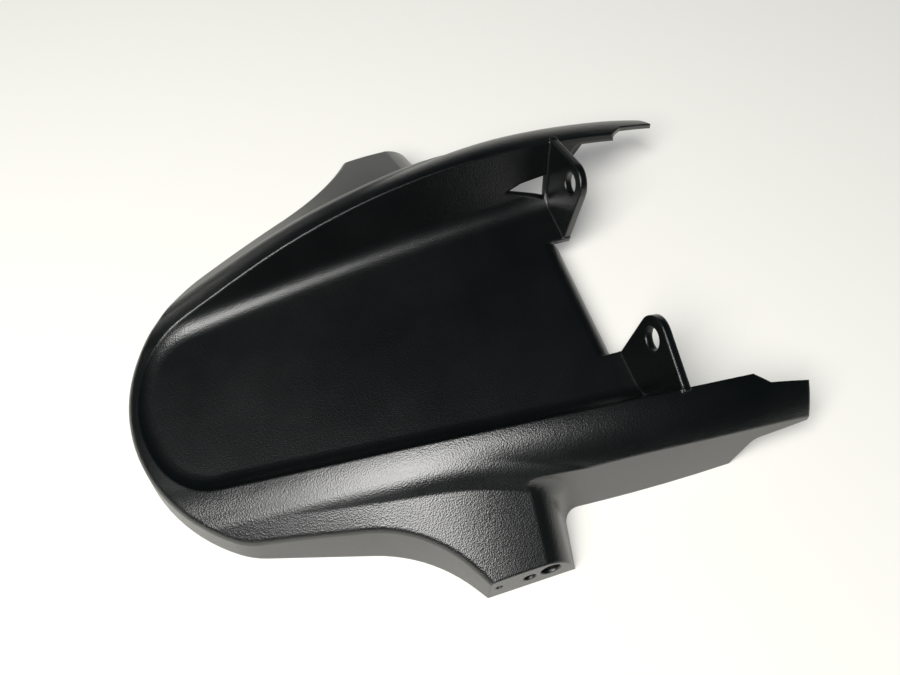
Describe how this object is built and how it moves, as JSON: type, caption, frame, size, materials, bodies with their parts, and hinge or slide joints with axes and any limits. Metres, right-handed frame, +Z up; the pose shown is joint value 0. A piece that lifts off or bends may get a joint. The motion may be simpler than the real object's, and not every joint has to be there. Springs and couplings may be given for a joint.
{
  "type": "rear hugger",
  "caption": "Moulded rear wheel hugger for a motorcycle: rounded tip, sunken trough, raised rails ending in arms, side wings for indicators and upright bolt ears.",
  "frame": {"origin": "middle of the bounding box's bottom face, where the skirt's rim stands on the ground", "axes": "+X from the rounded tip to the arms, +Y across to one wing, +Z up, out of the trough"},
  "size_m": [0.32, 0.2632, 0.0562],
  "materials": {
    "plastic": "satin black with a fine moulded grain"
  },
  "bodies": {
    "root": {"hugger": "plastic"}
  },
  "joints": []
}
